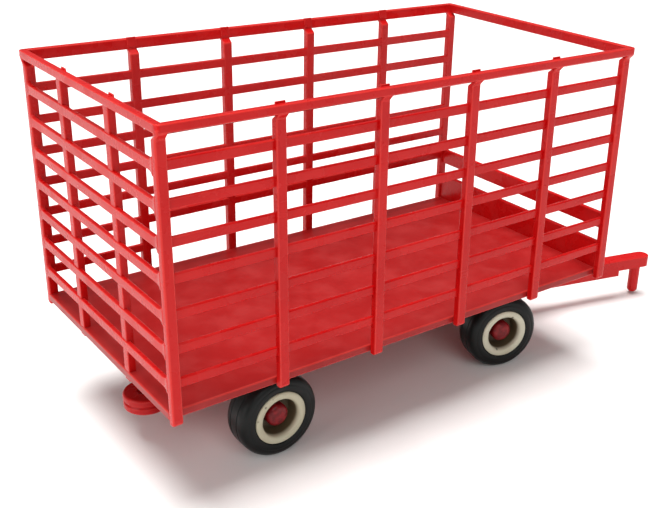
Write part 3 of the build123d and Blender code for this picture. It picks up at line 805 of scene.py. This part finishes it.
@dataclass
class EndPieces:
    """Rear gate, header rail, upper board and lip panel."""

    sizes: RackSizes
    gate_stakes: int = 2
    set_in: float = 0.12 * MM
    gate_depth: float = 1.0 * MM
    gate_edge: float = 0.11 * MM
    board_edge: float = 0.1 * MM
    stake_off: float = 7.2 * MM
    foot_drop: float = 0.25 * MM
    board_round: float = 0.2 * MM

    def slat(self, z: float) -> bpy.types.Object:
        """Gate slat whose ends widen in a sweep where they meet the corner posts.

        Args:
            z: height of the slat's lower edge.
        """
        s = self.sizes
        reach = s.deck_edge - 1.1 * MM
        slat = Bench.block("gate_slat", Vector((s.rear, -reach, z)),
                           Vector((s.rear + s.slat_thickness, reach, z + s.slat_height)))
        middle = z + s.slat_height / 2
        for sign in (1, -1):
            with Bench.editing(slat):
                Bench.pick(slat, Kind.FACE, lambda c, n, k=sign: n.y * k > 0.9)
                y = reach * sign
                for step, grow in ((0.55, 1.10), (0.35, 1.22), (0.2, 1.35), (0.3, 1.0)):
                    y += step * MM * sign
                    Bench.extrude((0, step * MM * sign, 0))
                    bpy.ops.transform.resize(value=(1, 1, grow),
                                             center_override=(s.rear, y, middle))
        return slat

    def gate(self, finish: bpy.types.Material) -> None:
        """Rear gate: slats outside, two stakes behind them, rail flush with the posts.

        Args:
            finish: material of the gate.
        """
        s = self.sizes
        reach = s.deck_edge + s.stake_depth + s.rail_lean - s.rail_thickness + s.bite
        gate = Bench.block("rear_gate", Vector((s.rear, -reach, s.rail_bottom)),
                           Vector((s.rear + s.rail_thickness, reach, s.rail_top)))
        self.skirt(gate, s.rear + s.rail_thickness)
        parts = [self.slat(z) for z in s.slat_bottoms()]
        x0 = s.rear + self.set_in
        for i in range(self.gate_stakes):
            y = self.stake_off * (2 * i - 1) - s.stake_width / 2
            parts.append(Bench.block(
                "gate_stake", Vector((x0, y, s.deck_under - self.foot_drop)),
                Vector((x0 + self.gate_depth, y + s.stake_width, s.rail_bottom + 0.5 * MM))))
            parts.append(Bench.block(
                "gate_head", Vector((s.rear + s.rail_thickness - 0.05 * MM, y, s.rail_bottom)),
                Vector((x0 + self.gate_depth, y + s.stake_width, s.rail_top + s.head_proud))))
        Bench.join(gate, parts)
        s.warp(gate)
        Bench.soften(gate, self.gate_edge, angle=50.0)
        dress(gate, finish, "wagon", ["rear_gate_rack"])

    def skirt(self, rail: bpy.types.Object, inner: float) -> None:
        """Let the inner lower edge of an end rail hang a little lower than the outer one."""
        s = self.sizes
        with Bench.editing(rail):
            Bench.pick(rail, Kind.EDGE, lambda c, d: abs(d.y) > 0.9
                       and abs(c.x - inner) < 0.02 * MM and c.z < s.rail_bottom + TINY)
            bpy.ops.transform.translate(value=(0, 0, -s.rail_skirt))

    def header(self, finish: bpy.types.Material) -> None:
        """Header rail over the open front.

        Args:
            finish: material of the rail.
        """
        s = self.sizes
        low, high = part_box("front_header_rail")
        rail = Bench.block("header_rail", low - Vector((0, s.bite, 0)),
                           high + Vector((0, s.bite, 0)))
        self.skirt(rail, low.x)
        s.warp(rail)
        Bench.soften(rail, s.edge)
        dress(rail, finish, "wagon", ["front_header_rail"])

    def board(self, node: str, name: str, finish: bpy.types.Material) -> None:
        """Front board with a rounded top edge, running into the corner posts.

        Args:
            node: CAD node that the board replaces.
            name: name of the board.
            finish: material of the board.
        """
        low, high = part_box(node)
        bite = self.sizes.bite
        board = Bench.block(name, low - Vector((0, bite, 0)), high + Vector((0, bite, 0)))
        with Bench.editing(board):
            Bench.pick(board, Kind.EDGE, lambda c, d: abs(d.y) > 0.99 and c.z > high.z - 1e-5)
            bpy.ops.mesh.bevel(offset=self.board_round, segments=3, affect="EDGES")
        self.sizes.warp(board)
        Bench.soften(board, self.board_edge)
        dress(board, finish, "wagon", [node])

    def build(self, finish: bpy.types.Material) -> None:
        """Make the four end pieces."""
        self.gate(finish)
        self.header(finish)
        self.board("front_upper_board", "upper_board", finish)
        self.board("front_lip_panel", "lip_panel", finish)


@dataclass
class Deck:
    """Floor plate with softened edges."""

    sizes: RackSizes
    edge: float = 0.18 * MM

    def build(self, finish: bpy.types.Material) -> None:
        """Make the floor plate."""
        low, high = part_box("deck_floor")
        deck = Bench.block("deck", low, high)
        Bench.soften(deck, self.edge, segments=3)
        dress(deck, finish, "wagon", ["deck_floor"])


# ------------------------------------------------------------------ running gear
@dataclass
class Wheel:
    """Tyre, dished rim and hub disc, modelled once and set at each of the four places."""

    steps: int = 72
    width_mm: float = 4.8

    def tyre(self) -> bpy.types.Object:
        """Smooth tyre with a faint ridge on each side wall."""
        half = [(3.78, 0.30), (3.88, 0.12), (4.05, 0.03), (4.35, 0.0), (4.68, 0.0),
                (4.76, 0.05), (4.84, 0.08), (4.95, 0.08), (5.15, 0.13), (5.38, 0.24),
                (5.58, 0.41), (5.74, 0.64), (5.85, 0.94), (5.89, 1.30), (5.89, 1.50),
                (5.80, 1.57), (5.80, 1.70), (5.9, 1.77), (5.9, 2.10)]
        section = half + [(r, self.width_mm - a) for r, a in reversed(half)]
        section += [(3.5, 4.4), (3.5, 0.4)]
        return Bench.turned("tyre", [(r * MM, a * MM) for r, a in section], self.steps)

    def rim(self) -> bpy.types.Object:
        """Rim with a softly crowned ring, a deep well and an inboard boss."""
        section = [(3.72, 0.34), (3.80, 0.22), (3.78, 0.09), (3.68, 0.0), (3.50, -0.05),
                   (3.25, -0.06), (3.02, -0.02), (2.86, 0.06), (2.75, 0.20), (2.70, 0.42),
                   (2.66, 1.10), (2.58, 2.00), (2.48, 2.45), (2.30, 2.60), (1.90, 2.62),
                   (0.85, 2.62), (0.85, 5.45), (1.40, 5.50), (1.50, 5.40), (1.52, 3.75),
                   (1.70, 3.62), (2.50, 3.60), (2.66, 3.75), (2.72, 4.60), (2.85, 4.78),
                   (3.30, 4.84), (3.70, 4.80), (3.80, 4.62), (3.72, 4.46), (3.4, 4.4), (3.4, 0.4)]
        rim = Bench.turned("rim", [(r * MM, a * MM) for r, a in section], self.steps)
        # How deep each point lies in the rim's well; the cream finish darkens it by this as
        # painted shade.
        shade = rim.data.attributes.new("well", "FLOAT", "POINT")
        depths = [max(0.0, min(1.0, (-v.co.y / MM - 0.25) / 0.9))
                  if v.co.xz.length < 2.78 * MM and v.co.y > -3.0 * MM else 0.0
                  for v in rim.data.vertices]
        shade.data.foreach_set("value", depths)
        return rim

    def hub(self) -> bpy.types.Object:
        """Slightly domed hub disc with an uneven rim."""
        section = [(0.25, 0.60), (0.75, 0.63), (1.12, 0.68), (1.36, 0.78), (1.52, 0.94),
                   (1.60, 1.20), (1.60, 2.40), (1.50, 2.50), (0.2, 2.50)]
        return Bench.turned("hub", [(r * MM, a * MM) for r, a in section], self.steps, loop=False)

    def place(self, source: bpy.types.Object, name: str, joint: dict[str, object],
              side: Side) -> bpy.types.Object:
        """Copy of a piece at one wheel's place.

        Args:
            source: Piece modelled at the origin.
            name: Name of the copy.
            joint: The wheel's joint, which gives its middle and axis.
            side: Side of the wagon.

        Returns:
            The copy, with its place in its mesh.
        """
        copy = bpy.data.objects.new(name, source.data.copy())
        bpy.context.scene.collection.objects.link(copy)
        axis = Vector(joint["axis"])
        turn = math.atan2(-axis.x, axis.y) + (0.0 if side is Side.LEFT else math.pi)
        out = axis * side.value
        copy.location = Vector(joint["pos_m"]) + out * (self.width_mm / 2) * MM
        copy.rotation_euler = (0, 0, turn)
        Bench.settle(copy)
        return copy

    def build(self, finishes: Finishes) -> None:
        """Make the three pieces and set them at the four wheels.

        Args:
            finishes: materials of the toy.
        """
        pieces = {"tyre": (self.tyre(), finishes.tyre, Slot.TYRE),
                  "rim": (self.rim(), finishes.rim, Slot.RIM),
                  "hub_cap": (self.hub(), finishes.hub, Slot.HUB)}
        for piece, _, _ in pieces.values():
            Bench.smooth(piece)
        for joint in frame["joints"]:
            if not joint["name"].endswith("_wheel_spin"):
                continue
            wheel = joint["name"].removesuffix("_wheel_spin")
            side = Side.LEFT if "left" in wheel else Side.RIGHT
            for part, (source, finish, slot) in pieces.items():
                node = f"{wheel}_{part}"
                body = joint["parent"] if part == "hub_cap" else joint["child"]
                made = self.place(source, f"{wheel}_{part}_piece", joint, side)
                dress(made, finish, body, [node])
        for source, _, _ in pieces.values():
            bpy.data.objects.remove(source)


@dataclass
class RunningGear:
    """Pieces under the deck, made from the frame's own shapes with rounded edges."""

    edge: float = 0.2 * MM
    bar_edge: float = 0.3 * MM
    pin_edge: float = 0.08 * MM

    def build(self, finishes: Finishes) -> None:
        """Round and dress each piece of the running gear.

        Args:
            finishes: materials of the toy.
        """
        for node in ("rear_bolster", "rear_axle_block", "front_bolster", "reach_pole"):
            self.rounded(node, self.edge, finishes.under, "wagon")
        self.rounded("rear_hitch_bar", self.bar_edge, finishes.under, "wagon")
        self.rounded("steering_carrier", self.edge, finishes.under, "front_gear")
        self.rounded("drawbar", self.bar_edge, finishes.body, "front_gear")
        self.rounded("hitch_pin", self.pin_edge, finishes.body, "front_gear")
        self.rounded("king_pin", self.pin_edge, finishes.steel, "wagon")
        self.rounded("rear_axle", self.pin_edge, finishes.steel, "wagon")
        self.rounded("front_axle", self.pin_edge, finishes.steel, "front_gear")
        self.rounded("deck_dowels", 0.06 * MM, finishes.under, "wagon")

    def rounded(self, node: str, edge: float, finish: bpy.types.Material,
                body: str) -> None:
        """Rounded copy of a node's own shape."""
        piece = Bench.copy_of_node(node, f"{node}_piece")
        Bench.soften(piece, edge, segments=3)
        dress(piece, finish, body, [node])


# ------------------------------------------------------------------ studio
@dataclass
class Studio:
    """Floor, soft lights and the camera."""

    sky: float = 0.19
    lens: float = 55.54
    shift: float = -0.1077
    pitch: float = 66.278
    roll: float = -1.825
    yaw: float = -37.764
    from_corner: tuple[float, float, float] = (-41.43 * MM, -92.92 * MM, 65.42 * MM)

    def light(self, name: str, kind: str, place: Sequence[float], size: float,
              power: float) -> None:
        """Soft light that looks at the middle of the wagon.

        Args:
            name: Name of the light.
            kind: AREA or SUN.
            place: Where it stands, or the direction a sun comes from.
            size: Side of an area light in metres, or angle of a sun in radians.
            power: Power, or strength of a sun.
        """
        data = bpy.data.lights.new(name, kind)
        setattr(data, "angle" if kind == "SUN" else "size", size)
        data.energy = power
        lamp = bpy.data.objects.new(name, data)
        bpy.context.scene.collection.objects.link(lamp)
        lamp.location = place
        lamp.rotation_euler = (Vector((0, 0, 0.02)) - Vector(place)).to_track_quat(
            "-Z", "Y").to_euler()

    def build(self) -> None:
        """Make the floor, the lights and the camera."""
        scene = bpy.context.scene
        scene.view_settings.view_transform = "Standard"
        bpy.ops.object.select_all(action="DESELECT")
        bpy.ops.mesh.primitive_plane_add(size=6.0, location=(0, 0, 0))
        floor = bpy.context.object
        floor.name = "studio_floor"
        floor.data.materials.append(StudioFloor("pale_floor").make())
        world = bpy.data.worlds.new("soft_white")
        world.use_nodes = True
        background = world.node_tree.nodes["Background"]
        background.inputs[0].default_value = (1.0, 0.99, 0.98, 1.0)
        graph = Graph(world.node_tree)
        seen = graph.add("ShaderNodeLightPath").outputs["Is Camera Ray"]
        strength = graph.maths("MAXIMUM", seen, self.sky)
        world.node_tree.links.new(strength, background.inputs[1])
        scene.world = world
        self.light("overhead", "SUN", (-0.05, 0.08, 0.8), math.radians(38.0), 4.7)
        self.light("left_window", "AREA", (-0.7, -0.05, 0.3), 0.5, 2.0)
        self.light("near_fill", "AREA", (-0.2, -0.7, 0.55), 0.5, 2.4)
        data = bpy.data.cameras.new("camera")
        data.lens = self.lens
        data.sensor_width = 36.0
        data.shift_x = self.shift
        data.clip_start = 0.001
        camera = bpy.data.objects.new("camera", data)
        scene.collection.objects.link(camera)
        camera.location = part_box("deck_floor")[0] + Vector(self.from_corner)
        camera.rotation_euler = tuple(math.radians(a) for a in (self.pitch, self.roll, self.yaw))
        scene.camera = camera


def main() -> None:
    logging.basicConfig(level=logging.INFO, format="%(name)s %(message)s")
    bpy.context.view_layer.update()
    finishes = Finishes()
    sizes = RackSizes()
    SideRack(sizes).build(finishes.body)
    EndPieces(sizes).build(finishes.body)
    Deck(sizes).build(finishes.floor)
    Wheel().build(finishes)
    RunningGear().build(finishes)
    Studio().build()


if __name__ == "__main__":
    main()
